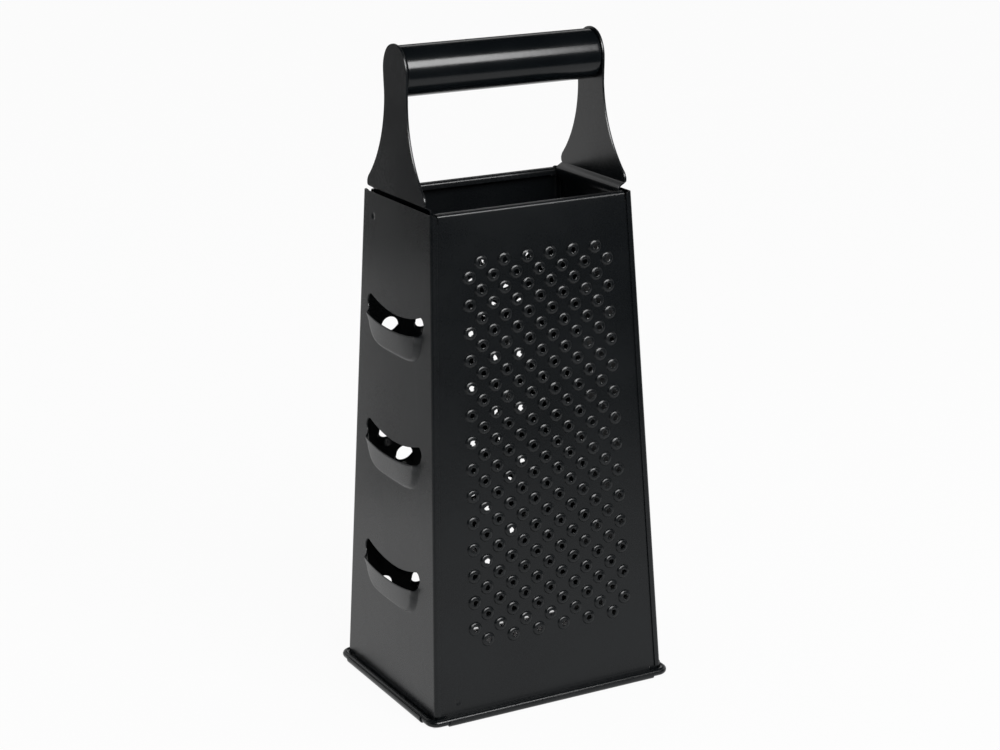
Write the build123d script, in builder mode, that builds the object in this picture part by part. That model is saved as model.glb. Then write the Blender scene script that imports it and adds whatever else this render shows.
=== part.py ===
from build123d import *
import os
from math import asin, atan, cos, degrees, hypot, radians, sin

# A four-sided box grater of coated sheet steel: two wide and two narrow panels lean together
# into a tapered box, a wire ring stiffens the rolled base rim, and a tube grip bridges two
# flat brackets. Millimetres; the origin is the middle of the base, on the table, +Z up.
# The wide front panel faces -Y and the slicing panel faces -X.

# Body, measured over the outer faces of the sheets
body_height = 184.7
base_width = 95.3
top_width = 80.2
base_depth = 73.5
top_depth = 53.3
sheet = 0.5

# Seams: the side panels wrap round the corners on to the faces of the wide panels
lip_width = 2.5
lip_bend = 1.2
lip_corner_bevel = 1.2
seam_flange = 3.6
seam_bend = 1.4

# Top hem of the wide panels, folded inwards
hem_half_length = 37.3
hem_depth = 3.6
hem_leg = 2.4
hem_bend = 1.1
hem_root = 3.6

# Base rim, curled outwards round a wire ring
wire_diameter = 2.6
wire_sides = 6
wire_clearance = 0.05
wire_corner_radius = 3.3
rim_flare = 0.3
rim_flat_height = 0.1
rim_corner_gap_wide = 4.7
rim_corner_gap_side = 5.6
rim_trim_height = 3.8
rim_relief = 0.4
corner_clearance = 0.3
curl_end_angle = 30.0

# Fine grating points of the front panel, punched outwards
fine_rows = 29
fine_row_pitch = 4.93
fine_first_row = 28.8
fine_pitch_share = 0.225
fine_most = 7
fine_offset = 1.5
fine_base_radius = 2.25
fine_tip_radius = 1.05
fine_height = 1.5
fine_hole_base_radius = 1.8
fine_hole_tip_radius = 1.12
fine_sides = 4

# Coarse shredding scoops of the back panel
coarse_rows = 14
coarse_row_pitch = 10.4
coarse_first_row = 27.9
coarse_pitch_share = 0.331
coarse_most = 5
coarse_offset = 2.1
coarse_hole_radius = 3.3
coarse_sides = 6
coarse_root_half = 3.6
coarse_foot_half = 2.4
coarse_root_drop = 6.3
coarse_height = 1.9
coarse_slope = 55.0

# Zesting points of the right panel
zest_rows = 13
zest_row_pitch = 10.8
zest_first_row = 27.9
zest_pitch_share = 0.34
zest_most = 4
zest_base_radius = 1.9
zest_tip_radius = 0.55
zest_height = 1.6
zest_hole_base_radius = 1.25
zest_hole_tip_radius = 0.62
zest_sides = 4

# Slicing slots of the left panel, each a bowed cut with its lower lip raised into a blade
slot_count = 3
slot_pitch = 47.1
slot_first = 49.8
slot_top_half = 20.0
slot_top_rise = 3.6
slot_half = 22.5
slot_end_rise = 0.5
slot_low_half = 19.6
slot_low_drop = 2.5
slot_opening = 5.0
scoop_top_half = 17.4
scoop_top_rise = 0.7
scoop_shoulder_half = 22.2
scoop_shoulder_drop = 5.5
scoop_drop = 15.0
scoop_corner_half = 20.8
scoop_corner_drop = 12.2
scoop_corner_bevel = 3.2
blade_height = 2.6
blade_wall_angle = 45.0

# Brackets that carry the grip
bracket_sheet = 0.8
bracket_inset = 0.5
lobe_radius = 9.7
neck_half = 8.7
neck_drop = 9.3
flare_radius = 42.5
foot_rise = 1.0
foot_edge = 2.7
foot_corner_radius = 2.4
foot_step = 0.9
flange_half = 20.4
flange_drop = 19.3
flange_corner_radius = 3.0
joggle_height = 3.0

# Grip: a tube between the brackets, held by a pressed cup in each end
grip_rise = 46.0
grip_diameter = 18.0
grip_wall = 0.8
grip_end_gap = 0.15
cup_clearance = 0.05
cup_depth = 8.0
cup_wall = 0.6
cup_sides = 24

# How far a cutting shape reaches past the sheet
overrun = 2.0


def half_width(height):
    """Half the width over the outer faces of the side panels at a height."""
    return (base_width + (top_width - base_width) * height / body_height) / 2


def half_depth(height):
    """Half the depth over the outer faces of the wide panels at a height."""
    return (base_depth + (top_depth - base_depth) * height / body_height) / 2


# Heights of the grip and its brackets go with the top of the body, their span with its width
grip_height = body_height + grip_rise
neck_height = grip_height - neck_drop
foot_bottom_height = body_height + foot_rise
foot_top_height = foot_bottom_height + foot_edge
flange_bottom_height = foot_bottom_height - flange_drop
bracket_half_span = top_width / 2 - bracket_inset
foot_half_span = bracket_half_span + foot_step
flare_angle = degrees(asin((neck_height - foot_top_height) / flare_radius))
foot_limit = neck_half + flare_radius

wide_lean = (base_depth - top_depth) / 2
side_lean = (base_width - top_width) / 2
wide_slant = hypot(body_height, wide_lean)
side_slant = hypot(body_height, side_lean)

# Each face plane lies on the outer face of its panel: x to the right as seen from outside,
# y up the slope from the level of the table, z outwards
front_face = Plane(
    origin=(0, -half_depth(0), 0), x_dir=(1, 0, 0), z_dir=(0, -body_height, wide_lean)
)
back_face = Plane(
    origin=(0, half_depth(0), 0), x_dir=(-1, 0, 0), z_dir=(0, body_height, wide_lean)
)
left_face = Plane(
    origin=(-half_width(0), 0, 0), x_dir=(0, -1, 0), z_dir=(-body_height, 0, side_lean)
)
right_face = Plane(
    origin=(half_width(0), 0, 0), x_dir=(0, 1, 0), z_dir=(body_height, 0, side_lean)
)

wire_radius = wire_diameter / 2
curl_inner_radius = wire_radius + wire_clearance
curl_radius = curl_inner_radius + sheet
curl_reach = rim_flare - sheet + curl_radius
wire_height = curl_radius - rim_flat_height
hem_base_height = body_height - hem_root


def wide_section(height):
    """Plan section of the front panel: a plate with a flange turned in at each side."""
    across = half_width(height) - sheet
    face = half_depth(height)
    with BuildSketch(Plane.XY.offset(height)) as section:
        with BuildLine():
            Polyline(
                (-across, seam_flange - face),
                (-across, -face),
                (across, -face),
                (across, seam_flange - face),
                (across - sheet, seam_flange - face),
                (across - sheet, sheet - face),
                (sheet - across, sheet - face),
                (sheet - across, seam_flange - face),
                close=True,
            )
        make_face()
        outer = section.vertices().group_by(Axis.Y)[0]
        inner = section.vertices().group_by(Axis.Y)[1]
        fillet(outer, seam_bend)
        chamfer(inner, seam_bend - sheet)
    return section.sketch


def side_section(height):
    """Plan section of the right panel: a web with a lip round each corner."""
    face = half_width(height)
    across = half_depth(height)
    with BuildSketch(Plane.XY.offset(height)) as section:
        with BuildLine():
            Polyline(
                (face - lip_width, -across - sheet),
                (face, -across - sheet),
                (face, across + sheet),
                (face - lip_width, across + sheet),
                (face - lip_width, across),
                (face - sheet, across),
                (face - sheet, -across),
                (face - lip_width, -across),
                close=True,
            )
        make_face()
        outer = section.vertices().group_by(Axis.X)[-1]
        inner = section.vertices().group_by(Axis.X)[-2]
        fillet(outer, lip_bend)
        chamfer(inner, lip_bend - sheet)
    return section.sketch


def curl_section(plane, face, trimmed_face):
    """Section of the rolled rim and of the strip of sheet between it and the panel."""
    center = face + curl_reach
    mouth = curl_radius * 2
    with BuildSketch(plane) as section:
        with Locations((center, wire_height)):
            Circle(curl_radius)
        with BuildLine():
            Polyline(
                (center, wire_height),
                (center - mouth, wire_height),
                (
                    center + mouth * cos(radians(curl_end_angle)),
                    wire_height + mouth * sin(radians(curl_end_angle)),
                ),
                close=True,
            )
        make_face(mode=Mode.SUBTRACT)
        with Locations((center, wire_height)):
            Circle(curl_inner_radius, mode=Mode.SUBTRACT)
        with BuildLine():
            Polyline(
                (face + rim_flare - sheet, wire_height),
                (face + rim_flare, wire_height),
                (trimmed_face, rim_trim_height),
                (trimmed_face - sheet, rim_trim_height),
                close=True,
            )
        make_face()
    return section.sketch


def fan_places(half_size, rows, row_pitch, first_row, pitch_share, most, offset, widest_first):
    """Staggered places on a face that fan out as the panel widens towards its base."""
    places = []
    for row in range(rows):
        up = first_row + row * row_pitch
        pitch = pitch_share * half_size(up)
        count = most - (row + widest_first) % 2
        for place in range(count):
            places.append((offset + (place - (count - 1) / 2) * pitch, up))
    return places


def polygon_pattern(face, level, places, radius, sides):
    """A regular polygon round each place, on a plane level with or behind a face."""
    with BuildSketch(face.offset(level)) as pattern:
        with Locations(*places):
            RegularPolygon(radius, sides, major_radius=False)
    return pattern.sketch


def taper_between(base_radius, tip_radius, height):
    """Wall angle, in degrees, of a punched point that narrows over a height."""
    return degrees(atan((base_radius - tip_radius) / height))


# Blank of the wide panels, drawn as the front one: plate and seam flanges, hem, curled rim
hem_front = -half_depth(body_height)
hem_back = hem_front + hem_depth
hem_base_front = -half_depth(hem_base_height)
wide_rim_half = half_width(wire_height) - rim_corner_gap_wide
with BuildPart() as wide_blank:
    loft(
        sections=[wide_section(corner_clearance), wide_section(hem_base_height)],
        ruled=True,
    )
    with BuildSketch():
        Rectangle(2 * (wide_rim_half + rim_relief), 2 * base_depth)
    extrude(amount=rim_trim_height, mode=Mode.SUBTRACT)
    with BuildSketch(Plane.YZ) as hem:
        with BuildLine():
            Polyline(
                (hem_base_front, hem_base_height),
                (hem_front, body_height),
                (hem_back, body_height),
                (hem_back, body_height - hem_leg),
                (hem_back - sheet, body_height - hem_leg),
                (hem_back - sheet, body_height - sheet),
                (hem_front + sheet, body_height - sheet),
                (hem_base_front + sheet, hem_base_height),
                close=True,
            )
        make_face()
        outer_corners = hem.vertices().group_by(Axis.Y)[-1]
        inner_corners = hem.vertices().group_by(Axis.Y)[-2]
        fillet(outer_corners, hem_bend)
        fillet(inner_corners, hem_bend - sheet)
    extrude(amount=hem_half_length, both=True)
    extrude(
        curl_section(
            Plane(origin=(0, 0, 0), x_dir=(0, -1, 0), z_dir=(-1, 0, 0)),
            half_depth(wire_height),
            half_depth(rim_trim_height),
        ),
        amount=wide_rim_half,
        both=True,
    )
    split(bisect_by=Plane.XY, keep=Keep.TOP)

# Blank of the side panels, drawn as the right one: web and corner lips, curled rim
side_rim_half = half_depth(wire_height) - rim_corner_gap_side
web_foot_half = half_depth(rim_trim_height) + sheet - lip_bend
with BuildPart() as side_blank:
    loft(
        sections=[side_section(corner_clearance), side_section(body_height)],
        ruled=True,
    )
    with BuildSketch():
        Rectangle(2 * base_width, 2 * base_depth)
        Rectangle(2 * base_width, 2 * web_foot_half, mode=Mode.SUBTRACT)
        Rectangle(2 * base_width, 2 * (side_rim_half + rim_relief))
    extrude(amount=rim_trim_height, mode=Mode.SUBTRACT)
    top_edges = side_blank.edges().filter_by(Axis.Y).group_by(Axis.Z)[-1]
    chamfer(top_edges.group_by(Axis.X)[0], lip_corner_bevel)
    extrude(
        curl_section(
            Plane.XZ,
            half_width(wire_height),
            half_width(rim_trim_height),
        ),
        amount=side_rim_half,
        both=True,
    )
    split(bisect_by=Plane.XY, keep=Keep.TOP)

# Front panel: fine grating points, each a cone punched outwards with a hole through it
fine_places = fan_places(
    half_width,
    fine_rows,
    fine_row_pitch,
    fine_first_row,
    fine_pitch_share,
    fine_most,
    fine_offset,
    1,
)
fine_hole_depth = fine_height + sheet
with BuildPart() as front_panel:
    add(wide_blank.part)
    extrude(
        polygon_pattern(front_face, 0, fine_places, fine_base_radius, fine_sides),
        amount=fine_height,
        taper=taper_between(fine_base_radius, fine_tip_radius, fine_height),
    )
    extrude(
        polygon_pattern(front_face, -sheet, fine_places, fine_hole_base_radius, fine_sides),
        amount=fine_hole_depth,
        taper=taper_between(fine_hole_base_radius, fine_hole_tip_radius, fine_hole_depth),
        mode=Mode.SUBTRACT,
    )
front_panel.part.label = "front_panel"

# Back panel: coarse scoops, each a hole whose lower edge stands out as a raised lip
coarse_places = fan_places(
    half_width,
    coarse_rows,
    coarse_row_pitch,
    coarse_first_row,
    coarse_pitch_share,
    coarse_most,
    coarse_offset,
    0,
)


def scoop_outlines(level):
    """The root outlines of the coarse scoops on a plane level with or behind the face."""
    with BuildSketch(back_face.offset(level)) as outlines:
        with Locations(*coarse_places):
            Polygon(
                (-coarse_root_half, 0),
                (-coarse_foot_half, -coarse_root_drop),
                (coarse_foot_half, -coarse_root_drop),
                (coarse_root_half, 0),
                align=None,
            )
    return outlines.sketch


with BuildPart() as back_panel:
    add(wide_blank.part, rotation=(0, 0, 180))
    extrude(scoop_outlines(0), amount=coarse_height, taper=coarse_slope)
    extrude(
        scoop_outlines(-sheet),
        amount=coarse_height,
        taper=coarse_slope,
        mode=Mode.SUBTRACT,
    )
    extrude(
        polygon_pattern(
            back_face, -sheet - overrun, coarse_places, coarse_hole_radius, coarse_sides
        ),
        amount=coarse_height + sheet + 2 * overrun,
        mode=Mode.SUBTRACT,
    )
back_panel.part.label = "back_panel"

# Right panel: zesting points, small square burrs punched outwards
zest_places = fan_places(
    half_depth,
    zest_rows,
    zest_row_pitch,
    zest_first_row,
    zest_pitch_share,
    zest_most,
    0,
    0,
)
zest_hole_depth = zest_height + sheet
with BuildPart() as right_panel:
    add(side_blank.part)
    extrude(
        polygon_pattern(right_face, 0, zest_places, zest_base_radius, zest_sides),
        amount=zest_height,
        taper=taper_between(zest_base_radius, zest_tip_radius, zest_height),
    )
    extrude(
        polygon_pattern(right_face, -sheet, zest_places, zest_hole_base_radius, zest_sides),
        amount=zest_hole_depth,
        taper=taper_between(zest_hole_base_radius, zest_hole_tip_radius, zest_hole_depth),
        mode=Mode.SUBTRACT,
    )
right_panel.part.label = "right_panel"

# Left panel: three bowed slots, each with the sheet below it pressed out into a blade.
# One blade is drawn on its own, its slot's upper edge touching the origin from above
with BuildPart() as blade:
    with BuildSketch() as blade_root:
        with BuildLine():
            Polyline(
                (scoop_corner_half, -scoop_corner_drop),
                (scoop_shoulder_half, -scoop_shoulder_drop),
                (scoop_top_half, scoop_top_rise),
                (-scoop_top_half, scoop_top_rise),
                (-scoop_shoulder_half, -scoop_shoulder_drop),
                (-scoop_corner_half, -scoop_corner_drop),
            )
            ThreePointArc(
                (-scoop_corner_half, -scoop_corner_drop),
                (0, -scoop_drop),
                (scoop_corner_half, -scoop_corner_drop),
            )
        make_face()
        chamfer(blade_root.vertices().group_by(Axis.Y)[0], scoop_corner_bevel)
    extrude(amount=blade_height, taper=blade_wall_angle)
    with BuildSketch(Plane.YZ.offset(-scoop_shoulder_half)):
        with BuildLine():
            Polyline(
                (-scoop_drop, 0),
                (-slot_opening, blade_height),
                (scoop_top_rise, blade_height),
                (scoop_top_rise, 0),
                close=True,
            )
        make_face()
    extrude(amount=2 * scoop_shoulder_half, mode=Mode.INTERSECT)

slot_places = [
    left_face.location * Location((0, slot_first + step * slot_pitch, 0))
    for step in range(slot_count)
]
with BuildPart() as left_panel:
    add(side_blank.part, rotation=(0, 0, 180))
    with Locations(*slot_places):
        add(blade.part)
    with Locations(*[place * Location((0, 0, -sheet)) for place in slot_places]):
        add(blade.part, mode=Mode.SUBTRACT)
    with BuildSketch(*[Plane(place) for place in slot_places]):
        with BuildLine():
            ThreePointArc(
                (-slot_top_half, slot_top_rise), (0, 0), (slot_top_half, slot_top_rise)
            )
            Polyline(
                (slot_top_half, slot_top_rise),
                (slot_half, slot_end_rise),
                (slot_low_half, -slot_low_drop),
            )
            ThreePointArc(
                (slot_low_half, -slot_low_drop),
                (0, -slot_opening),
                (-slot_low_half, -slot_low_drop),
            )
            Polyline(
                (-slot_low_half, -slot_low_drop),
                (-slot_half, slot_end_rise),
                (-slot_top_half, slot_top_rise),
            )
        make_face()
    extrude(amount=blade_height + overrun, both=True, mode=Mode.SUBTRACT)
left_panel.part.label = "left_panel"

# Base wire: one ring inside the curled rims, bare at the corners
wire_across = half_width(wire_height) + curl_reach
wire_along = half_depth(wire_height) + curl_reach
with BuildPart() as base_wire:
    with BuildLine(Plane.XY.offset(wire_height)) as ring:
        FilletPolyline(
            (wire_across, -wire_along),
            (wire_across, wire_along),
            (-wire_across, wire_along),
            (-wire_across, -wire_along),
            radius=wire_corner_radius,
            close=True,
        )
    with BuildSketch(Plane(origin=ring.line @ 0, z_dir=ring.line % 0)):
        RegularPolygon(wire_radius, wire_sides)
    sweep()
base_wire.part.label = "base_wire"

# Brackets, drawn as the right one: a strip that leans and joggles to lie inside the side
# panel, trimmed to the outline of the arm
strip_bottom_height = flange_bottom_height - overrun
flange_top_span = half_width(foot_bottom_height) - sheet
flange_bottom_span = half_width(strip_bottom_height) - sheet
with BuildPart() as right_bracket:
    with BuildSketch(Plane.XZ) as strip:
        with BuildLine():
            Polyline(
                (bracket_half_span, grip_height + lobe_radius),
                (bracket_half_span, neck_height),
                (foot_half_span, foot_bottom_height + joggle_height),
                (flange_top_span, foot_bottom_height),
                (flange_bottom_span, strip_bottom_height),
                (flange_bottom_span - bracket_sheet, strip_bottom_height),
                (flange_top_span - bracket_sheet, foot_bottom_height),
                (foot_half_span - bracket_sheet, foot_bottom_height + joggle_height),
                (bracket_half_span - bracket_sheet, neck_height),
                (bracket_half_span - bracket_sheet, grip_height + lobe_radius),
                close=True,
            )
        make_face()
    extrude(amount=foot_limit, both=True)
    with BuildSketch(Plane.YZ) as arm:
        with Locations((0, grip_height)):
            Circle(lobe_radius)
        with BuildLine():
            flare = CenterArc(
                (neck_half + flare_radius, neck_height), flare_radius, 180, flare_angle
            )
            Polyline(
                flare @ 1,
                ((flare @ 1).X, foot_bottom_height),
                (0, foot_bottom_height),
                (0, grip_height),
                (lobe_radius, grip_height),
                flare @ 0,
            )
        make_face()
        mirror(about=Plane.YZ)
        fillet(arm.vertices().group_by(Axis.Y)[0], foot_corner_radius)
        with Locations((0, (foot_bottom_height + flange_bottom_height) / 2)):
            Rectangle(2 * flange_half, flange_drop)
        fillet(arm.vertices().group_by(Axis.Y)[0], flange_corner_radius)
    extrude(amount=base_width, mode=Mode.INTERSECT)
right_bracket.part.label = "right_bracket"

with BuildPart() as left_bracket:
    add(right_bracket.part.mirror(Plane.YZ))
left_bracket.part.label = "left_bracket"

# Grip tube, between the inner faces of the brackets
tube_half = bracket_half_span - bracket_sheet - grip_end_gap
tube_radius = grip_diameter / 2
tube_bore = tube_radius - grip_wall
with BuildPart() as grip_tube:
    with BuildSketch(Plane.YZ.offset(-tube_half)):
        with Locations((0, grip_height)):
            Circle(tube_radius)
            Circle(tube_bore, mode=Mode.SUBTRACT)
    extrude(amount=2 * tube_half)
grip_tube.part.label = "grip_tube"

# Grip cups, drawn as the right one: a many-sided disc with a rim that plugs the tube
cup_face = bracket_half_span - bracket_sheet
cup_radius = tube_bore - cup_clearance
with BuildPart() as right_grip_cup:
    with BuildSketch(Plane.YZ.offset(cup_face)):
        with Locations((0, grip_height)):
            RegularPolygon(cup_radius, cup_sides)
    extrude(amount=-cup_depth)
    with BuildSketch(Plane.YZ.offset(cup_face - cup_depth)):
        with Locations((0, grip_height)):
            RegularPolygon(cup_radius - cup_wall, cup_sides)
    extrude(amount=cup_depth - cup_wall, mode=Mode.SUBTRACT)
right_grip_cup.part.label = "right_grip_cup"
with BuildPart() as left_grip_cup:
    add(right_grip_cup.part.mirror(Plane.YZ))
left_grip_cup.part.label = "left_grip_cup"

pieces = [
    front_panel,
    back_panel,
    left_panel,
    right_panel,
    base_wire,
    left_bracket,
    right_bracket,
    grip_tube,
    left_grip_cup,
    right_grip_cup,
]
os.makedirs("parts", exist_ok=True)
for piece in pieces:
    export_step(piece.part, f"parts/{piece.part.label}.step")
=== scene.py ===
import bpy
import math
import random
from mathutils import Matrix, Vector
from mathutils.geometry import delaunay_2d_cdt


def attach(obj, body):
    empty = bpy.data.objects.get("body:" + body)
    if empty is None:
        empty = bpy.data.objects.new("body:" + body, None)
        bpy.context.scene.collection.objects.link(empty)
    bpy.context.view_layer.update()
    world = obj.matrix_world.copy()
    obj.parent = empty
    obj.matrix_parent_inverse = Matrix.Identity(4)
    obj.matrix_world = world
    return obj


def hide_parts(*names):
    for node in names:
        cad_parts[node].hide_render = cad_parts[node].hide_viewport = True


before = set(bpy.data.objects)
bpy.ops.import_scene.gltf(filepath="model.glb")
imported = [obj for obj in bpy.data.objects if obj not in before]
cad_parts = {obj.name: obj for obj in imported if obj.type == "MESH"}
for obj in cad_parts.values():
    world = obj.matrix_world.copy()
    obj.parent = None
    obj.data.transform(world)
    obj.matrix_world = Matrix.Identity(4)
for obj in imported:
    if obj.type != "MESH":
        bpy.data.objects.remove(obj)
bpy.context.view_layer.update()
MM = 0.001
rng = random.Random(11)

# Sizes in millimetres: those of the part's source, but for the room that rounded edges need
HEIGHT, SHEET = 184.7, 0.5
BASE_W, TOP_W, BASE_D, TOP_D = 95.3, 80.2, 73.5, 53.3
LIP, LIP_BEND, LIP_ROUND, FLANGE, SEAM_BEND = 2.3, 1.2, 1.6, 3.6, 1.4
HEM_HALF, HEM_ROOT, HEM_DEPTH, HEM_LEG, HEM_BEND = 37.3, 3.6, 3.6, 2.4, 1.1
WIRE_R, CURL_IN, CURL_OUT, WIRE_Z, FLARE, CURL_END = 1.3, 1.35, 1.84, 1.75, 0.3, 30.0
TRIM, FOOT, RELIEF, GAP_WIDE, GAP_SIDE, WIRE_BEND = 3.8, 0.3, 0.4, 4.7, 5.6, 3.3
GRIP_Z, GRIP_R, GRIP_WALL, ARM_SHEET, ARM_X = 230.7, 9.0, 0.8, 0.8, 39.6
EDGE_Z, NECK_Z, ARM_END, FOOT_HALF = 186.9, 221.4, 166.4, 22.9
NECK_HALF, FLARE_R, LOBE_R, FOOT_X = 8.7, 42.5, 9.6, 40.5
TONGUE_HALF, TONGUE_R, WIDEN_Z, LEDGE, FOOT_R, LOBE_TRIM = 20.4, 3.0, 182.0, 0.6, 1.0, 0.5
STEP_X, STEP_LOW, STEP_END = 38.1, 183.0, 178.5  # the bracket's step in under its foot
GUARD = 0.4  # a narrow strip beside each bend, which keeps the shading of the flat even
ROUND = 0.09  # how far a cut edge bulges
SEAM_GAP = 0.06


def half_w(z):
    """Half of the body's width at a height; half_d is the same for its depth."""
    return (BASE_W + (TOP_W - BASE_W) * z / HEIGHT) / 2


def half_d(z):
    return (BASE_D + (TOP_D - BASE_D) * z / HEIGHT) / 2


def smooth(t):
    """A soft step from 0 to 1."""
    t = max(0.0, min(1.0, t))
    return t * t * (3 - 2 * t)


class Skin:
    """A sheet held as pairs of points, one on its outer and one on its inner side.

    It is drawn as if its outer side faced -Y, and turned to its own side at the end."""

    def __init__(self, reach, across):
        self.reach, self.across = reach, across
        lean = reach(0) - reach(HEIGHT)
        self.slant = math.hypot(HEIGHT, lean)
        self.sin, self.cos = lean / self.slant, HEIGHT / self.slant
        self.out, self.inn, self.faces = [], [], []

    def face(self, u, v, w):
        """A point across, up along and out from the slanted face."""
        y = -self.reach(0) + v * self.sin - w * self.cos
        return Vector((u, y, v * self.cos + w * self.sin))

    def pair(self, outer, inner):
        """Adds a pair of points and gives its number."""
        self.out.append(Vector(outer))
        self.inn.append(Vector(inner))
        return len(self.out) - 1

    def flat(self, u, v):
        """Adds a pair on the slanted face."""
        return self.pair(self.face(u, v, 0), self.face(u, v, -SHEET))

    def strip(self, low, high):
        """Joins two open rows of pairs."""
        for a, b, c, d in zip(low, low[1:], high[1:], high):
            self.faces.append((a, b, c, d))

    def ring(self, outer, inner):
        """Joins two closed rings of pairs."""
        count = len(outer)
        for i in range(count):
            j = (i + 1) % count
            self.faces.append((outer[i], outer[j], inner[j], inner[i]))

    def feature(self, u, v, rows, closed=False):
        """Rings of (x, y, w outer, x, y, w inner) round a place, from the flat inwards."""
        loops = []
        for row in rows:
            loop = []
            for a, b, c, d, e, f in row:
                loop.append(self.pair(self.face(u + a, v + b, c), self.face(u + d, v + e, f)))
            loops.append(loop)
        for outer, inner in zip(loops, loops[1:]):
            self.ring(outer, inner)
        if closed:
            last = rows[-1]
            depth, under = last[0][2], last[0][5]
            middle = self.pair(self.face(u, v, depth), self.face(u, v, under))
            tip = loops[-1]
            for i in range(len(tip)):
                self.faces.append((tip[i], tip[(i + 1) % len(tip)], middle))
        return loops[0]

    def fill(self, border, holes):
        """Covers the flat between a border and the outer rings of its features."""
        ids = list(border)
        edges = [(i, (i + 1) % len(border)) for i in range(len(border))]
        owner = {}
        polygons = []
        for number, hole in enumerate(holes):
            start = len(ids)
            ids += hole
            count = len(hole)
            edges += [(start + i, start + (i + 1) % count) for i in range(count)]
            for i in hole:
                owner[i] = number
            polygons.append([self.flat_place(i) for i in hole])
        points = [Vector(self.flat_place(i)) for i in ids]
        made = delaunay_2d_cdt(points, edges, [list(range(len(border)))], 1, 1e-7)
        verts, faces, origin = made[0], made[2], made[3]
        back = [ids[o[0]] for o in origin]
        for f in faces:
            t = [back[i] for i in f]
            owners = {owner.get(i, -1) for i in t}
            if len(owners) == 1 and -1 not in owners:
                x = sum(verts[i][0] for i in f) / len(f)
                y = sum(verts[i][1] for i in f) / len(f)
                if inside(x, y, polygons[owners.pop()]):
                    continue
            self.faces.append(tuple(t))

    def flat_place(self, i):
        """Where a pair lies in the plane of the face."""
        p = self.out[i]
        return (p.x, p.z / self.cos)

    def mesh(self, name, turn):
        """Both sides and all rounded free edges as one closed mesh, turned about the upright."""
        count = len(self.out)
        faces = list(self.faces)
        owners = {}
        for f in self.faces:
            for a, b in zip(f, f[1:] + f[:1]):
                owners[(a, b)] = f
        free = [(a, b) for a, b in owners if (b, a) not in owners]
        ways = {}
        for a, b in free:
            f = owners[(a, b)]
            middle = sum((self.out[i] for i in f), Vector()) / len(f)
            way = (self.out[b] - self.out[a]).cross(self.out[a] - self.inn[a]).normalized()
            if way.dot(self.out[a] - middle) < 0:
                way = -way
            for i in (a, b):
                ways[i] = ways.get(i, Vector()) + way
        places = self.out + self.inn
        rim = {}  # where the rounded edge of each free pair starts
        for i, way in ways.items():
            rim[i] = len(places)
            for share in (0.2, 0.8):
                places.append(self.out[i].lerp(self.inn[i], share) + way.normalized() * ROUND)
        faces += [tuple(i + count for i in reversed(f)) for f in self.faces]
        for a, b in free:
            chain = ((a, b), (rim[a], rim[b]), (rim[a] + 1, rim[b] + 1), (a + count, b + count))
            for (a0, b0), (a1, b1) in zip(chain, chain[1:]):
                faces.append((b0, a0, a1, b1))
        spin = Matrix.Rotation(math.radians(turn), 4, "Z")
        return make_object(name, [spin @ (p * MM) for p in places], faces)


def inside(x, y, polygon):
    """Whether a place lies within a polygon."""
    hit = False
    for (ax, ay), (bx, by) in zip(polygon, polygon[1:] + polygon[:1]):
        if (ay > y) != (by > y) and x < (bx - ax) * (y - ay) / (by - ay) + ax:
            hit = not hit
    return hit


def make_object(name, verts, faces, angle=38):
    """A smooth shaded object, with creases where its faces meet at more than the angle."""
    mesh = bpy.data.meshes.new(name)
    mesh.from_pydata([tuple(v) for v in verts], [], faces)
    mesh.validate()
    mesh.polygons.foreach_set("use_smooth", [True] * len(mesh.polygons))
    mesh.set_sharp_from_angle(angle=math.radians(angle))
    obj = bpy.data.objects.new(name, mesh)
    bpy.context.scene.collection.objects.link(obj)
    return obj


def roll(d, radius=0.2):
    """How far a cut edge is rounded over, at a distance from the cut."""
    if d >= radius:
        return 0.0
    return math.sqrt(max(0.0, radius**2 - (radius - d) ** 2)) - radius


# Punched forms. Each gives rings of (x, y, w) outside and (x, y, w) inside the sheet
def fan(half, rows, pitch, first, share, most, offset, widest_first):
    """Places in rows that spread with the taper, with one fewer in every other row."""
    places = []
    for row in range(rows):
        v = first + row * pitch
        step = share * half(v)
        count = most - (row + widest_first) % 2
        for k in range(count):
            places.append((offset + (k - (count - 1) / 2) * step, v))
    return places


def circle(count, turn=0.0):
    """Angles spread evenly round a circle."""
    return [turn + 2 * math.pi * i / count for i in range(count)]


def crater():
    """A fine point: a round bump punched outwards with a torn, rolled mouth."""
    outer = [
        (2.78, 0), (2.68, 0), (2.6, 0.07), (2.51, 0.24), (2.38, 0.42), (2.2, 0.57),
        (1.98, 0.68), (1.7, 0.76), (1.42, 0.8), (1.2, 0.8), (1.06, 0.72),
    ]
    inner = [
        (2.78, -0.5), (2.66, -0.5), (2.5, -0.46), (2.32, -0.34), (2.16, -0.18),
        (1.98, -0.02), (1.76, 0.14), (1.53, 0.29), (1.31, 0.42), (1.14, 0.52), (1.03, 0.6),
    ]
    count = 24
    stretch = rng.uniform(0.95, 1.05)
    waves = [(n, rng.uniform(0.05, 0.12), rng.uniform(0, 6.3)) for n in (2, 3, 5)]
    lean = (rng.uniform(-0.08, 0.08), rng.uniform(-0.08, 0.08))
    rows = []
    for k, ((ro, ho), (ri, hi)) in enumerate(zip(outer, inner)):
        deep = max(0.0, (k - 6) / 4)
        row = []
        for a in circle(count):
            jag = sum(size * math.cos(n * a + turn) for n, size, turn in waves) * deep
            c, s = math.cos(a), math.sin(a)
            x, y = lean[0] * deep, lean[1] * deep
            outside = ((ro + jag) * c + x, (ro + jag) * s + y, ho * stretch + jag * 0.8)
            low = hi * stretch + jag * 0.8 if hi > 0 else hi
            row.append((*outside, (ri + jag) * c + x, (ri + jag) * s + y, low))
        rows.append(row)
    return rows


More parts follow.
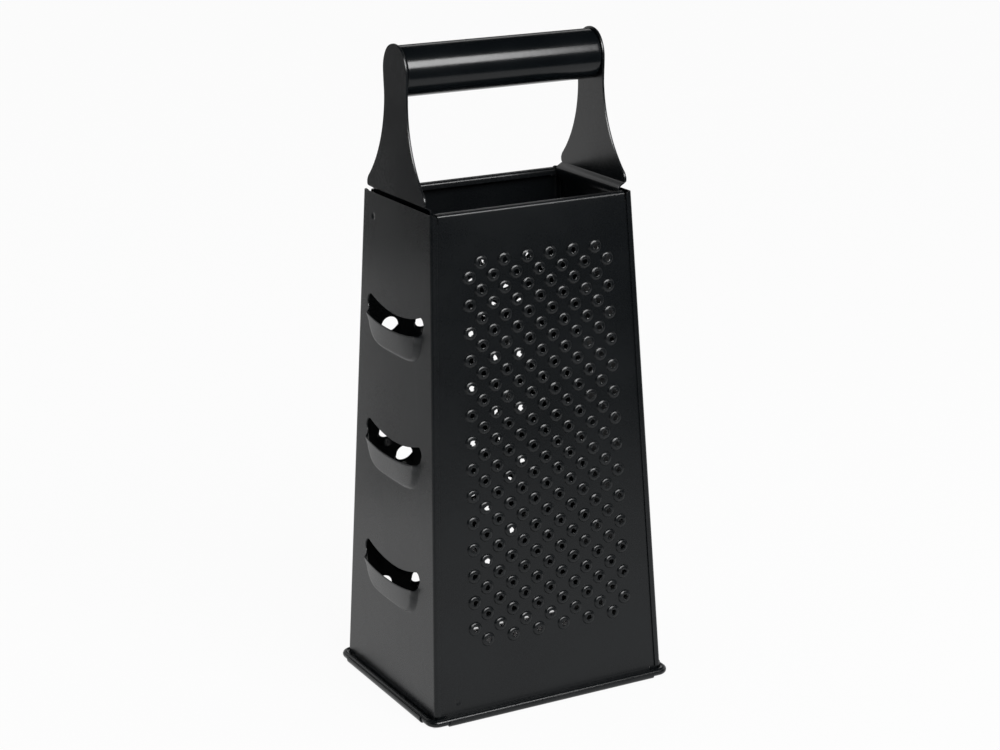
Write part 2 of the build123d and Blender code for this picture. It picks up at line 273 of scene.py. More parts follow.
def burr():
    """A zesting point: four torn petals standing round a small hole."""
    count = 24
    rows = []
    lift = rng.uniform(0.92, 1.08)
    for k in range(9):
        t = max(0.0, (k - 1) / 7)
        row = []
        for a in circle(count, math.pi / 4):
            c, s = math.cos(a), math.sin(a)
            petal = abs(math.cos(2 * a)) ** 0.7
            r = 2.3 - 0.18 * (k > 0) - (1.25 + 0.3 * petal) * smooth(t) ** 0.8
            h = 1.6 * lift * (0.45 + 0.55 * petal) * t**1.5
            ri = r - 0.28 * smooth(t * 3) + 0.1 * t
            hi = -SHEET + (h + SHEET - 0.12) * t**1.3
            row.append((r * c, r * s, h, ri * c, ri * s, hi))
        rows.append(row)
    return rows


def scoop():
    """A coarse hole whose lower edge is pressed out into a curved lip."""
    count, steps = 40, 12
    lift = rng.uniform(0.96, 1.04)
    rows = []
    for k in range(steps + 1):
        t = k / steps
        row = []
        for a in circle(count):
            c, s = math.cos(a), math.sin(a)
            below = max(0.0, -s)
            outer = 4.2 + 2.7 * below**1.3
            inner = 3.5 - 0.45 * below
            r = outer + (inner - outer) * t
            rise = 1.9 * lift * below**0.65
            quarter = t * math.pi / 2
            slope = rise * 1.7 * math.cos(quarter) * math.pi / 2 / (outer - inner)
            slope *= math.sin(quarter) ** 0.7
            h = rise * math.sin(quarter) ** 1.7 + roll((outer - inner) * (1 - t), 0.18)
            n = math.hypot(slope, 1)
            ri, hi = r - SHEET * slope / n, h - SHEET / n
            if k == 0:
                ri, hi = r, -SHEET
            row.append((r * c, r * s, h, ri * c, ri * s, hi))
        rows.append(row)
    return rows


def dimple():
    """A small spot weld pressed into the face."""
    rows = []
    for r, h in ((1.6, 0), (1.45, 0), (1.2, -0.05), (0.9, -0.16), (0.55, -0.24), (0.25, -0.26)):
        ring = [(r * math.cos(a), r * math.sin(a)) for a in circle(24)]
        rows.append([(x, y, h, x, y, h - SHEET) for x, y in ring])
    return rows


# A slot: its upper edge dips to the origin, its round ends pass the cap points, and the
# sheet below it is pressed out from the root line to the blade. SIDE gives the half width
# of the pressed part at each height
SLOT_TOP, SLOT_RISE, BLADE_HALF, BLADE_RISE, SLOT_OPEN = 20.0, 3.6, 20.4, 1.85, 5.0
SLOT_BAND, SLOT_ROLL = 0.8, 0.5
CAP_MIDDLE = Vector((20.0, 0.5))
CAP = [(20.0, 3.6), (21.1, 3.25), (21.95, 2.45), (22.4, 1.5), (22.5, 0.5)]
CAP_LOW = [(22.45, -0.4), (22.2, -1.3), (21.8, -2.05), (21.3, -2.6), (20.9, -3.0)]
ROOT = [
    (23.1, 0.5), (23.0, -0.6), (22.85, -2.0), (22.7, -3.4), (22.5, -4.8), (22.1, -7.0),
    (21.3, -9.0), (20.0, -11.0), (17.9, -12.7), (15.3, -13.7), (11.8, -14.3), (7.4, -14.6),
    (0.0, -14.8),
]
SIDE = [
    (0.5, 22.6), (-0.4, 22.5), (-1.3, 22.4), (-2.05, 22.2), (-2.6, 22.1), (-3.4, 22.2),
    (-4.8, 22.1), (-7.0, 21.8), (-9.0, 21.0), (-11.0, 19.7), (-12.7, 17.6), (-13.7, 15.0),
    (-14.3, 11.5), (-14.6, 7.0), (-14.8, 0.0),
]


def root_half(y):
    """Half the width of the pressed part at a height."""
    for (y0, x0), (y1, x1) in zip(SIDE, SIDE[1:]):
        if y >= y1:
            return x0 + (x1 - x0) * (min(y, y0) - y0) / (y1 - y0)
    return 0.0


def root_low(x):
    """The height at which the press starts, by the distance from the slot's middle."""
    return -14.4 + 1.9 * min(1.0, abs(x) / 18.5) ** 4


def blade_height(x, y):
    """How far the sheet below a slot is pressed out."""
    run = 2.6 + 1.4 * smooth((-3.0 - y) / 3.0)
    wall = smooth((root_half(y) - abs(x)) / run)
    up = max(0.0, y - root_low(x))
    rise = 0.65 * smooth(up / 1.1) + 1.95 * min(1.0, up / 10.5)
    return rise * wall * (1 - 0.18 * (x / BLADE_HALF) ** 2)


def polyline_points(points, count):
    """That many points spread evenly along a line of points, both ends among them."""
    lengths = [0.0]
    for (ax, ay), (bx, by) in zip(points, points[1:]):
        lengths.append(lengths[-1] + math.hypot(bx - ax, by - ay))
    made, k = [], 0
    for i in range(count):
        want = lengths[-1] * i / (count - 1)
        while k < len(points) - 2 and lengths[k + 1] < want:
            k += 1
        span = lengths[k + 1] - lengths[k]
        t = (want - lengths[k]) / span
        (ax, ay), (bx, by) = points[k], points[k + 1]
        made.append((ax + (bx - ax) * t, ay + (by - ay) * t))
    return made


def slot():
    """A slicing slot: a bowed cut with the sheet below it pressed out into a blade."""
    upper, lower, steps = 61, 101, 22

    def grown(points, by):
        """Points moved away from the middle of the slot's round end."""
        return [tuple(Vector(p) + (Vector(p) - CAP_MIDDLE).normalized() * by) for p in points]

    def top_line(by):
        """The slot's upper edge from end to end, or a line that far above it."""
        line = list(reversed(grown(CAP, by)))
        for i in range(1, 40):
            x = SLOT_TOP * (1 - i / 20)
            line.append((x, SLOT_RISE * (x / SLOT_TOP) ** 2 + by))
        return line + [(-x, y) for x, y in grown(CAP, by)]

    cut_top = polyline_points(top_line(0), upper)
    flat_top = polyline_points(top_line(SLOT_BAND), upper)
    ends = [CAP[-1]] + CAP_LOW
    edge = [(-x, y) for x, y in ends]
    for i in range(61):
        x = BLADE_HALF * (i / 30 - 1)
        edge.append((x, BLADE_RISE * (x / BLADE_HALF) ** 2 - SLOT_OPEN))
    edge += reversed(ends)
    root = [(-x, y) for x, y in ROOT] + list(reversed(ROOT[:-1]))
    cut_low = polyline_points(edge, lower)[1:-1]
    flat_low = polyline_points(root, lower)[1:-1]
    rows = []
    for k in range(steps + 1):
        t = (k / steps) ** 1.5
        row = []
        for (ax, ay), (bx, by) in zip(flat_top, cut_top):
            x, y = ax + (bx - ax) * t, ay + (by - ay) * t
            h = roll(math.hypot(x - bx, y - by), SLOT_ROLL)
            row.append((x, y, h, x, y, -SHEET))
        for (ax, ay), (bx, by) in zip(flat_low, cut_low):
            x, y = ax + (bx - ax) * t, ay + (by - ay) * t
            h = blade_height(x, y)
            if k == 0:
                row.append((x, y, 0, x, y, -SHEET))
                continue
            sx = (blade_height(x + 0.05, y) - blade_height(x - 0.05, y)) / 0.1
            sy = (blade_height(x, y + 0.05) - blade_height(x, y - 0.05)) / 0.1
            n = math.sqrt(1 + sx * sx + sy * sy)
            thick = SHEET * (1 - 0.35 * smooth((t - 0.85) / 0.15))
            row.append((x, y, h, x + thick * sx / n, y + thick * sy / n, h - thick / n))
        rows.append(row)
    return rows


# Sheets
def curl_rows(skin, columns, joined):
    """The rolled rim below a sheet, from its free edge round the wire to the joined row."""
    middle = -(skin.reach(WIRE_Z) + FLARE - SHEET + CURL_OUT)
    rows, steps = [], 26
    for k in range(steps + 1):
        a = math.radians(CURL_END - (CURL_END + 180) * k / steps)
        row = []
        for x in columns:
            sides = []
            for r in (CURL_IN, CURL_OUT):
                sides.append((x, middle - r * math.cos(a), max(0.0, WIRE_Z + r * math.sin(a))))
            row.append(skin.pair(*sides))
        rows.append(row)
    for k in range(1, 6):
        t = k / 6
        z = WIRE_Z + (TRIM - WIRE_Z) * t
        y = -skin.reach(z) - FLARE * (1 - smooth(t))
        rows.append([skin.pair((x, y, z), (x, y + SHEET, z)) for x in columns])
    rows.append(joined)
    for low, high in zip(rows, rows[1:]):
        skin.strip(low, high)


def corner_columns(column, heights, tip):
    """Rows of points round the two upright bends of a sheet, at each height."""
    arcs = [math.pi / 2 * i / 8 for i in range(1, 9)]
    grid = []
    for z in heights:
        left = [column(-1, tip, 0, z)]
        left += [column(-1, "arc", a, z) for a in reversed(arcs)]
        left += [column(-1, "flat", 0, z), column(-1, "flat", GUARD, z)]
        right = [column(1, "flat", GUARD, z), column(1, "flat", 0, z)]
        right += [column(1, "arc", a, z) for a in arcs]
        right += [column(1, tip, 0, z)]
        grid.append((left, right))
    return grid


def foot_rows(skin, grid, heights, break_x, wide):
    """The corner feet, so many columns wide, and the row above them.

    It gives the row that the rolled rim joins and the base of the flat's border."""
    flats = []
    for z in heights[:3]:
        xs = (-break_x - RELIEF, -break_x, break_x, break_x + RELIEF)
        flats.append([skin.flat(x, z / skin.cos) for x in xs])
    skin.strip(grid[0][0][-wide:] + flats[0][:1], grid[1][0][-wide:] + flats[1][:1])
    skin.strip(flats[0][3:] + grid[0][1][:wide], flats[1][3:] + grid[1][1][:wide])
    skin.strip(grid[1][0] + flats[1] + grid[1][1], grid[2][0] + flats[2] + grid[2][1])
    return flats[1][1:3], [grid[2][0][-1], *flats[2], grid[2][1][0]]


def wide_skin(features):
    """The front or back sheet: a flange down each side and a hem along the top."""
    skin = Skin(half_d, half_w)
    turn = math.pi / 2 - math.asin(skin.sin)
    top = skin.slant - HEM_BEND * math.tan(turn / 2)
    base = HEIGHT - HEM_ROOT
    heights = [FOOT, TRIM, TRIM + GUARD, base - GUARD, base]
    break_x = half_w(WIRE_Z) - GAP_WIDE

    def column(side, kind, value, z):
        """A pair on the flat, in the bend at a corner or at the end of its flange."""
        across, reach = skin.across(z) - SHEET, skin.reach(z)
        if kind == "flat":
            x = side * (across - SEAM_BEND - value)
            return skin.flat(x, z / skin.cos)
        if kind == "arc":
            cx, cy = side * (across - SEAM_BEND), -(reach - SEAM_BEND)
            s, c = side * math.sin(value), math.cos(value)
            r = SEAM_BEND - SHEET
            outer = (cx + SEAM_BEND * s, cy - SEAM_BEND * c, z)
            return skin.pair(outer, (cx + r * s, cy - r * c, z))
        y = FLANGE - reach
        return skin.pair((side * across, y, z), (side * (across - SHEET), y, z))

    grid = corner_columns(column, heights, "flange")
    joined, border = foot_rows(skin, grid, heights, break_x, len(grid[0][0]))
    skin.strip(grid[2][0], grid[3][0])
    skin.strip(grid[2][1], grid[3][1])
    hems = [[skin.flat(s * HEM_HALF, z / skin.cos) for s in (-1, 1)] for z in heights[3:]]
    skin.strip(grid[3][0] + hems[0] + grid[3][1], grid[4][0] + hems[1] + grid[4][1])
    border += [grid[3][1][0], hems[0][1], hems[0][0], grid[3][0][-1]]
    holes = [skin.feature(u, v, rows, closed) for u, v, rows, closed in features]
    skin.fill(border, holes)
    curl_rows(skin, [-break_x, break_x], joined)

    # The hem along the top, folded inwards
    lean = math.asin(skin.sin)
    crest = skin.face(0, top, 0)
    cy, cz = crest.y + HEM_BEND * skin.cos, crest.z - HEM_BEND * skin.sin
    sides = (HEM_BEND, HEM_BEND - SHEET)
    path = []
    for v in (top - GUARD, top):
        path.append([(skin.face(0, v, w).y, skin.face(0, v, w).z) for w in (0, -SHEET)])
    for i in range(1, 11):
        a = lean + turn * i / 10
        path.append([(cy - r * math.cos(a), cz + r * math.sin(a)) for r in sides])
    end = -skin.reach(HEIGHT) + HEM_DEPTH
    ey, ez = end - HEM_BEND, HEIGHT - HEM_BEND
    for i in range(0, 9):
        a = math.pi / 2 * i / 8
        path.append([(ey + r * math.sin(a), ez + r * math.cos(a)) for r in sides])
    path.append([(end, HEIGHT - HEM_LEG), (end - SHEET, HEIGHT - HEM_LEG)])
    last = hems[1]
    for (oy, oz), (iy, iz) in path:
        row = [skin.pair((x, oy, oz), (x, iy, iz)) for x in (-HEM_HALF, HEM_HALF)]
        skin.strip(last, row)
        last = row
    return skin


def side_skin(features):
    """The left or right sheet: a lip round each corner, over the wide sheets' flanges."""
    skin = Skin(half_w, half_d)
    break_x = half_d(WIRE_Z) - GAP_SIDE
    heights = [FOOT, TRIM, TRIM + GUARD, HEIGHT - LIP_ROUND]
    for a in (22, 45, 62, 77, 90):
        heights.append(HEIGHT - LIP_ROUND * (1 - math.sin(math.radians(a))))

    def lip(z):
        """How far the lip reaches round the corner; its top is rounded."""
        d = max(0.0, z - (HEIGHT - LIP_ROUND))
        return LIP - LIP_ROUND + math.sqrt(max(0.0, LIP_ROUND**2 - d**2))

    def column(side, kind, value, z):
        """A pair on the flat, in the bend at a corner or at the end of its lip."""
        across, reach = skin.across(z) + SHEET + SEAM_GAP, skin.reach(z)
        if kind == "flat":
            return skin.flat(side * (across - LIP_BEND - value), z / skin.cos)
        if kind == "arc":
            cx, cy = side * (across - LIP_BEND), -(reach - LIP_BEND)
            s, c = side * math.sin(value), math.cos(value)
            r = LIP_BEND - SHEET
            outer = (cx + LIP_BEND * s, cy - LIP_BEND * c, z)
            return skin.pair(outer, (cx + r * s, cy - r * c, z))
        y = lip(z) - value - reach
        return skin.pair((side * across, y, z), (side * (across - SHEET), y, z))

    grid = corner_columns(column, heights, "lip")
    joined, border = foot_rows(skin, grid, heights, break_x, 2)
    for (l0, r0), (l1, r1) in zip(grid[2:], grid[3:]):
        skin.strip(l0, l1)
        skin.strip(r0, r1)
    border += [g[1][0] for g in grid[3:]] + [g[0][-1] for g in reversed(grid[3:])]
    holes = [skin.feature(u, v, rows, closed) for u, v, rows, closed in features]
    skin.fill(border, holes)
    curl_rows(skin, [-break_x, break_x], joined)
    return skin


fine_places = fan(half_w, 29, 4.93, first=28.8, share=0.225, most=7, offset=1.5, widest_first=1)
coarse_places = fan(half_w, 14, 10.4, first=27.9, share=0.331, most=5, offset=2.1, widest_first=0)
zest_places = fan(half_d, 13, 10.8, first=27.9, share=0.34, most=4, offset=0.0, widest_first=0)
slot_places = [(0, 49.8 + 47.1 * k) for k in range(3)]

fine = [(u, v, crater(), False) for u, v in fine_places]
coarse = [(u, v, scoop(), False) for u, v in coarse_places]
zest = [(u, v, burr(), False) for u, v in zest_places]
slots = [(u, v, slot(), False) for u, v in slot_places]
weld = [(-18.6, 176.4, dimple(), True)]
front_weld = [(-37.8, 7.6, dimple(), True)]

front = wide_skin(fine + front_weld).mesh("front_sheet", 0)
back = wide_skin(coarse).mesh("back_sheet", 180)
left = side_skin(slots + weld).mesh("left_sheet", -90)
right = side_skin(zest + weld).mesh("right_sheet", 90)


# Brackets
def arm_half(z):
    """Half of a bracket's width: its tongue, foot, waist, neck and round end."""
    if z < ARM_END + TONGUE_R:
        drop = ARM_END + TONGUE_R - z
        return TONGUE_HALF - TONGUE_R + math.sqrt(max(0.0, TONGUE_R**2 - drop**2))
    if z < WIDEN_Z:
        return TONGUE_HALF
    if z < EDGE_Z:
        return TONGUE_HALF + (FOOT_HALF - LEDGE - TONGUE_HALF) * smooth((z - WIDEN_Z) / 1.5)
    if z < NECK_Z:
        flare = NECK_HALF + FLARE_R - math.sqrt(FLARE_R**2 - (NECK_Z - z) ** 2)
        corner = FOOT_HALF - FOOT_R
        corner += math.sqrt(max(0.0, FOOT_R**2 - max(0.0, EDGE_Z + FOOT_R - z) ** 2))
        return min(flare, corner)
    if z < GRIP_Z:
        grown = smooth((z - NECK_Z) / (GRIP_Z - NECK_Z))
        return NECK_HALF + (LOBE_R - LOBE_TRIM - NECK_HALF) * grown
    lobe = math.sqrt(max(0.0, LOBE_R**2 - (z - GRIP_Z) ** 2))
    return lobe - LOBE_TRIM * smooth((lobe - 4.0) / (LOBE_R - 4.0))


def arm_x(z):
    """The outer face: down the arm, in under the foot's edge, then back to the panel."""
    line = [
        (NECK_Z, ARM_X), (EDGE_Z + 0.15, FOOT_X), (EDGE_Z, FOOT_X - 0.12),
        (EDGE_Z - 0.25, FOOT_X - 0.5), (EDGE_Z - 1.0, 38.7), (EDGE_Z - 1.4, 38.25),
        (EDGE_Z - 1.9, STEP_X), (STEP_LOW, STEP_X), (STEP_END, half_w(STEP_END) - SHEET),
        (ARM_END, half_w(ARM_END) - SHEET),
    ]
    if z >= NECK_Z:
        return ARM_X
    for (z1, x1), (z0, x0) in zip(line, line[1:]):
        if z >= z0:
            return x0 + (x1 - x0) * (z - z0) / (z1 - z0)
    return line[-1][1]


def bracket(name, turn):
    """A flat arm, drawn in rows from the end of its tongue to the top of its round end."""
    skin = Skin(half_w, half_d)
    levels = [ARM_END + TONGUE_R * (1 - math.cos(math.radians(a))) for a in range(0, 90, 15)]
    levels += [169.4, 174.0, STEP_END, 180.7, WIDEN_Z, STEP_LOW, 184.0]
    fold = (-1.9, -1.4, -1.0, -0.6, -0.25, -0.1, 0.0, 0.15, 0.4, 0.8, 1.3, 2.0)
    levels += [EDGE_Z + d for d in fold]
    levels += [EDGE_Z + 2.0 + (NECK_Z - EDGE_Z - 2.0) * k / 22 for k in range(1, 23)]
    levels += [NECK_Z + (GRIP_Z - NECK_Z) * k / 6 for k in range(1, 6)]
    levels += [GRIP_Z + LOBE_R * math.sin(math.radians(a)) for a in (*range(0, 90, 6), 87, 89.2)]
    rows = []
    for z in levels:
        half, x = arm_half(z), arm_x(z)
        row = []
        for s in (-1.0, -0.97, -0.8, -0.4, 0.0, 0.4, 0.8, 0.97, 1.0):
            row.append(skin.pair((s * half, -x, z), (s * half, ARM_SHEET - x, z)))
        rows.append(row)
    for low, high in zip(rows, rows[1:]):
        skin.strip(low, high)
    obj = skin.mesh(name, turn)
    bevel = obj.modifiers.new("edge", "BEVEL")
    bevel.width, bevel.segments, bevel.limit_method = 0.00016, 2, "ANGLE"
    bevel.angle_limit = math.radians(50)
    bevel.harden_normals = True
    return obj


arm_right = bracket("arm_right", 90)
arm_left = bracket("arm_left", -90)


# Grip and base wire
def tube_faces(rings, count):
    """Faces that join closed rings of points one after another, the last to the first."""
    faces = []
    for k in range(rings):
        m = (k + 1) % rings
        for i in range(count):
            j = (i + 1) % count
            faces.append((k * count + i, m * count + i, m * count + j, k * count + j))
    return faces


def grip():
    """The tube, with rolled ends, as a profile of (x, radius) turned about its axis."""
    half, bend = ARM_X - ARM_SHEET - 0.15, 0.75
    inner = GRIP_R - GRIP_WALL
    side = [(-half + 4.0, inner), (-half + 0.2, inner), (-half, inner + 0.2)]
    for a in range(0, 91, 15):
        c, s = math.cos(math.radians(a)), math.sin(math.radians(a))
        side.append((-half + bend * (1 - c), GRIP_R - bend * (1 - s)))
    side += [(-half + 1.6, GRIP_R)]
    profile = side + [(-x, r) for x, r in reversed(side)]
    count = 128
    verts = []
    for x, r in profile:
        for a in circle(count):
            verts.append((x * MM, r * MM * math.cos(a), (GRIP_Z + r * math.sin(a)) * MM))
    return make_object("grip_barrel", verts, tube_faces(len(profile), count), 50)


def wire():
    """The round wire that the rolled rims hold, bent at the four corners."""
    across = half_w(WIRE_Z) + FLARE - SHEET + CURL_OUT
    along = half_d(WIRE_Z) + FLARE - SHEET + CURL_OUT
    r = WIRE_BEND
    path = []
    for sx, sy, start in ((1, 1, 0), (-1, 1, 90), (-1, -1, 180), (1, -1, 270)):
        for k in range(13):
            a = math.radians(start + 90 * k / 12)
            x = sx * (across - r) + r * math.cos(a)
            y = sy * (along - r) + r * math.sin(a)
            path.append((x, y, a))
    count, verts = 18, []
    for x, y, a in path:
        for b in circle(count):
            d = WIRE_R * math.cos(b)
            z = WIRE_Z + WIRE_R * math.sin(b)
            verts.append(((x + d * math.cos(a)) * MM, (y + d * math.sin(a)) * MM, z * MM))
    return make_object("rim_wire", verts, tube_faces(len(path), count), 60)


barrel = grip()
ring = wire()


# Materials
def calc(tree, operation, a, b=None):
    """A math node; each value is a number or the socket that it comes from."""
    node = tree.nodes.new("ShaderNodeMath")
    node.operation = operation
    for socket, value in zip(node.inputs, (a, b)):
        if isinstance(value, (int, float)):
            socket.default_value = value
        elif value is not None:
            tree.links.new(value, socket)
    return node.outputs[0]


def spread(tree, source, low, high, a, b):
    """Maps the range from low to high of a socket onto the range from a to b."""
    node = tree.nodes.new("ShaderNodeMapRange")
    for name, value in (("From Min", low), ("From Max", high), ("To Min", a), ("To Max", b)):
        node.inputs[name].default_value = value
    tree.links.new(source, node.inputs["Value"])
    return node.outputs["Result"]


def coating(name, rough, grain, wear):
    """Satin black coating on steel, with a fine skin, soft unevenness and rubbed edges."""
    mat = bpy.data.materials.new(name)
    mat.use_nodes = True
    tree = mat.node_tree
    tree.nodes.clear()
    new, link = tree.nodes.new, tree.links.new
    out = new("ShaderNodeOutputMaterial")
    shader = new("ShaderNodeBsdfPrincipled")
    link(shader.outputs[0], out.inputs[0])
    shader.inputs["Specular IOR Level"].default_value = 0.27
    shader.inputs["IOR"].default_value = 1.5
    shader.inputs["Metallic"].default_value = 0.0
    place = new("ShaderNodeTexCoord").outputs["Object"]

    def noise(scale, detail, coarse):
        """Noise that is fixed to the piece."""
        node = new("ShaderNodeTexNoise")
        node.inputs["Scale"].default_value = scale
        node.inputs["Detail"].default_value = detail
        node.inputs["Roughness"].default_value = coarse
        link(place, node.inputs["Vector"])
        return node.outputs["Fac"]

    def blend(amount, a, b):
        """Mixes two colours, each given as one or as the socket that it comes from."""
        node = new("ShaderNodeMix")
        node.data_type = "RGBA"
        link(amount, node.inputs["Factor"])
        for name, value in (("A", a), ("B", b)):
            if isinstance(value, tuple):
                node.inputs[name].default_value = value
            else:
                link(value, node.inputs[name])
        return node.outputs["Result"]

    def bump(height, strength, distance, under=None):
        """A bump, on top of another where one is given."""
        node = new("ShaderNodeBump")
        node.inputs["Strength"].default_value = strength
        node.inputs["Distance"].default_value = distance
        link(height, node.inputs["Height"])
        if under is not None:
            link(under, node.inputs["Normal"])
        return node.outputs["Normal"]

    skin = noise(grain, 4.0, 0.55)
    cloud = noise(26.0, 3.0, 0.5)
    speck = noise(4200.0, 2.0, 0.5)
    geometry = new("ShaderNodeNewGeometry")
    edge = spread(tree, geometry.outputs["Pointiness"], 0.53, 0.62, 0.0, 1.0)
    broken = spread(tree, noise(900.0, 3.0, 0.7), 0.45, 0.62, 0.0, 1.0)
    rubbed = calc(tree, "MULTIPLY", calc(tree, "MULTIPLY", edge, broken), wear)

    share = spread(tree, cloud, 0.35, 0.65, 0.0, 1.0)
    tone = blend(share, (0.0028, 0.0040, 0.0050, 1), (0.0044, 0.0058, 0.0070, 1))
    link(blend(rubbed, tone, (0.06, 0.06, 0.062, 1)), shader.inputs["Base Color"])

    wide = spread(tree, cloud, 0.3, 0.7, rough - 0.03, rough + 0.03)
    fine = spread(tree, speck, 0.3, 0.7, -0.03, 0.03)
    link(calc(tree, "ADD", wide, fine), shader.inputs["Roughness"])
    link(bump(skin, 0.2, 0.00006, bump(speck, 0.1, 0.00002)), shader.inputs["Normal"])
    return mat


sheet_coat = coating("satin_black_sheet", 0.29, 700.0, 0.12)
arm_coat = coating("satin_black_arm", 0.25, 600.0, 0.12)
grip_coat = coating("satin_black_grip", 0.18, 500.0, 0.1)
wire_coat = coating("satin_black_wire", 0.25, 900.0, 0.12)

for obj, coat, node, slot_name in (
    (front, sheet_coat, "front_panel", "coated_sheet"),
    (back, sheet_coat, "back_panel", "coated_sheet"),
    (left, sheet_coat, "left_panel", "coated_sheet"),
    (right, sheet_coat, "right_panel", "coated_sheet"),
    (arm_left, arm_coat, "left_bracket", "coated_bracket"),
    (arm_right, arm_coat, "right_bracket", "coated_bracket"),
    (barrel, grip_coat, "grip_tube", "coated_grip"),
    (ring, wire_coat, "base_wire", "coated_wire"),
):
    obj.data.materials.append(coat)
    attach(obj, "root")
    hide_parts(node)
for node in ("left_grip_cup", "right_grip_cup"):
    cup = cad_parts[node]
    if len(cup.material_slots) == 0:
        cup.data.materials.append(arm_coat)
    for held in cup.material_slots:
        held.link = "OBJECT"
        held.material = arm_coat


# Stage
def seen_share(tree):
    """1 for camera, glossy and transmission rays, 0 for the rest."""
    rays = tree.nodes.new("ShaderNodeLightPath").outputs
    seen = calc(tree, "MAXIMUM", rays["Is Camera Ray"], rays["Is Glossy Ray"])
    return calc(tree, "MAXIMUM", seen, rays["Is Transmission Ray"])


def outside_share(tree):
    """How far the floor glows: none inside the box, where it lies in the dark."""
    place = tree.nodes.new("ShaderNodeTexCoord")
    split = tree.nodes.new("ShaderNodeSeparateXYZ")
    tree.links.new(place.outputs["Object"], split.inputs[0])
    shares = []
    for axis, reach in (("X", half_w(0) * MM), ("Y", half_d(0) * MM)):
        size = calc(tree, "ABSOLUTE", split.outputs[axis])
        shares.append(spread(tree, size, reach - 0.001, reach + 0.001, 0.0, 0.94))
    return calc(tree, "MAXIMUM", *shares)


def floor():
    """A pale sheet that takes the object's shadow and looks near white."""
    size, cells = 5.0, 10
    verts, faces = [], []
    for i in range(cells + 1):
        for j in range(cells + 1):
            verts.append((size * (2 * i / cells - 1), size * (2 * j / cells - 1), 0.0))
    for i in range(cells):
        for j in range(cells):
            a = i * (cells + 1) + j
            faces.append((a, a + cells + 1, a + cells + 2, a + 1))
    obj = make_object("floor", verts, faces)
    mat = bpy.data.materials.new("pale_floor")
    mat.use_nodes = True
    tree = mat.node_tree
    tree.nodes.clear()
    out = tree.nodes.new("ShaderNodeOutputMaterial")
    mix = tree.nodes.new("ShaderNodeMixShader")
    paint = tree.nodes.new("ShaderNodeBsdfDiffuse")
    paint.inputs["Color"].default_value = (0.9, 0.9, 0.9, 1)
    glow = tree.nodes.new("ShaderNodeEmission")
    glow.inputs["Color"].default_value = (1, 1, 1, 1)
    glow.inputs["Strength"].default_value = 1.0
    tree.links.new(calc(tree, "MULTIPLY", seen_share(tree), outside_share(tree)), mix.inputs[0])
    tree.links.new(paint.outputs[0], mix.inputs[1])
    tree.links.new(glow.outputs[0], mix.inputs[2])
    tree.links.new(mix.outputs[0], out.inputs[0])
    obj.data.materials.append(mat)
    return obj


floor()

world = bpy.data.worlds.new("studio")
bpy.context.scene.world = world
world.use_nodes = True
tree = world.node_tree
tree.nodes.clear()
out = tree.nodes.new("ShaderNodeOutputWorld")
sky = tree.nodes.new("ShaderNodeBackground")
sky.inputs["Color"].default_value = (1, 1, 1, 1)
tree.links.new(spread(tree, seen_share(tree), 0.0, 1.0, 0.45, 1.0), sky.inputs["Strength"])
tree.links.new(sky.outputs[0], out.inputs[0])


def softbox(name, direction, distance, size, size_y, power):
    """A soft lamp that faces the object from a direction."""
    data = bpy.data.lights.new(name, "AREA")
    data.shape = "RECTANGLE"
    data.size, data.size_y, data.energy = size, size_y, power
    obj = bpy.data.objects.new(name, data)
    way = Vector(direction).normalized()
    obj.location = Vector((0, 0, 0.12)) + way * distance
    obj.rotation_mode = "QUATERNION"
    obj.rotation_quaternion = way.to_track_quat("Z", "Y")
    bpy.context.scene.collection.objects.link(obj)
    return obj


# The key lights the set; the shine, further in, is what the coating mirrors
softbox("key", (0.1, -0.8, 0.58), 1.4, 1.1, 0.58, 11.0).visible_glossy = False
softbox("shine", (0.06, -0.8, 0.58), 1.2, 1.1, 0.55, 40.0).visible_diffuse = False


def card(name, path, sideways, first, last, shade):
    """A matt card along a path of points beside the set, seen only in reflections."""
    side = Vector((sideways[0], sideways[1], 0)).normalized()
    verts, faces = [], []
    for p in path:
        for k in range(5):
            verts.append(Vector(p) + side * (first + (last - first) * k / 4))
    for i in range(len(path) - 1):
        for k in range(4):
            a = 5 * i + k
            faces.append((a, a + 1, a + 6, a + 5))
    obj = make_object(name, verts, faces)
    mat = bpy.data.materials.new(name)
    mat.use_nodes = True
    shader = mat.node_tree.nodes["Principled BSDF"]
    shader.inputs["Base Color"].default_value = (shade, shade, shade, 1)
    shader.inputs["Roughness"].default_value = 1.0
    shader.inputs["Specular IOR Level"].default_value = 0.0
    obj.data.materials.append(mat)
    obj.visible_camera = False
    obj.visible_shadow = False
    obj.visible_diffuse = False
    return obj


def upright(direction, distance, low, high):
    """A path straight up beside the set."""
    way = Vector((direction[0], direction[1], 0)).normalized() * distance
    return [(way.x, way.y, low + (high - low) * k / 3) for k in range(4)]


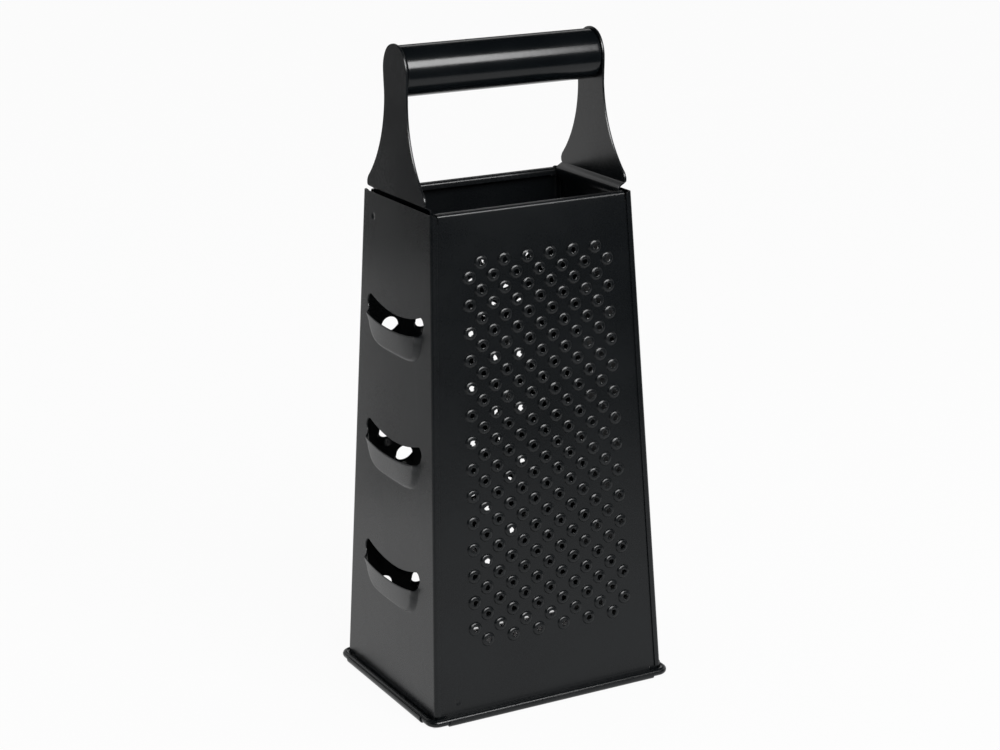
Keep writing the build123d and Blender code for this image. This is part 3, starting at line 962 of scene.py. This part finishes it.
def arch(radius, first, last):
    """A path over the set from the front to the back."""
    turns = [math.radians(first + (last - first) * k / 12) for k in range(13)]
    return [(0, -radius * math.cos(a), radius * math.sin(a)) for a in turns]


card("flag_front", upright((0.45, -0.87), 0.4, 0.0, 0.26), (0.87, 0.45), -0.5, 0.5, 0.01)
card("flag_left", upright((-0.78, -0.62), 0.45, 0.0, 0.5), (0.62, -0.78), -0.22, 0.22, 0.01)
card("screen_low", upright((-0.47, 0.85), 0.2, 0.02, 0.125), (0.85, 0.47), -0.9, -0.015, 0.6)
card("screen_high", upright((-0.47, 0.85), 0.2, 0.125, 0.9), (0.85, 0.47), -0.9, 0.0, 0.18)
card("flag_back", upright((0.47, 0.88), 0.7, 0.28, 0.5), (0.88, -0.47), -0.4, 0.4, 0.01)
card("canopy", arch(1.7, 12.0, 135.0), (1, 0), -2.0, 2.0, 0.01)

# Camera, from the fit to the photograph; the picture is PICTURE pixels wide
PICTURE, FOCAL = 1000, 2330.43
azimuth, elevation, tilt = math.radians(28.094), math.radians(16.544), math.radians(-0.735)
flat_x, flat_y = -math.sin(azimuth), -math.cos(azimuth)
flat = math.cos(elevation)
back_way = Vector((flat_x * flat, flat_y * flat, math.sin(elevation)))
right_way = (-back_way).cross(Vector((0, 0, 1))).normalized()
up_way = right_way.cross(-back_way)
turned_right = right_way * math.cos(tilt) + up_way * math.sin(tilt)
turned_up = up_way * math.cos(tilt) - right_way * math.sin(tilt)
camera_data = bpy.data.cameras.new("camera")
camera = bpy.data.objects.new("camera", camera_data)
bpy.context.scene.collection.objects.link(camera)
spot = Vector((0, 0, 0.115354)) + turned_right * 0.00029 + back_way * 0.85625
axes = Matrix((turned_right, turned_up, back_way)).transposed().to_4x4()
camera.matrix_world = Matrix.Translation(spot) @ axes
camera_data.sensor_width = 36.0
camera_data.lens = FOCAL / PICTURE * camera_data.sensor_width
camera_data.clip_start, camera_data.clip_end = 0.01, 50.0
bpy.context.scene.camera = camera
bpy.context.scene.view_settings.view_transform = "Standard"
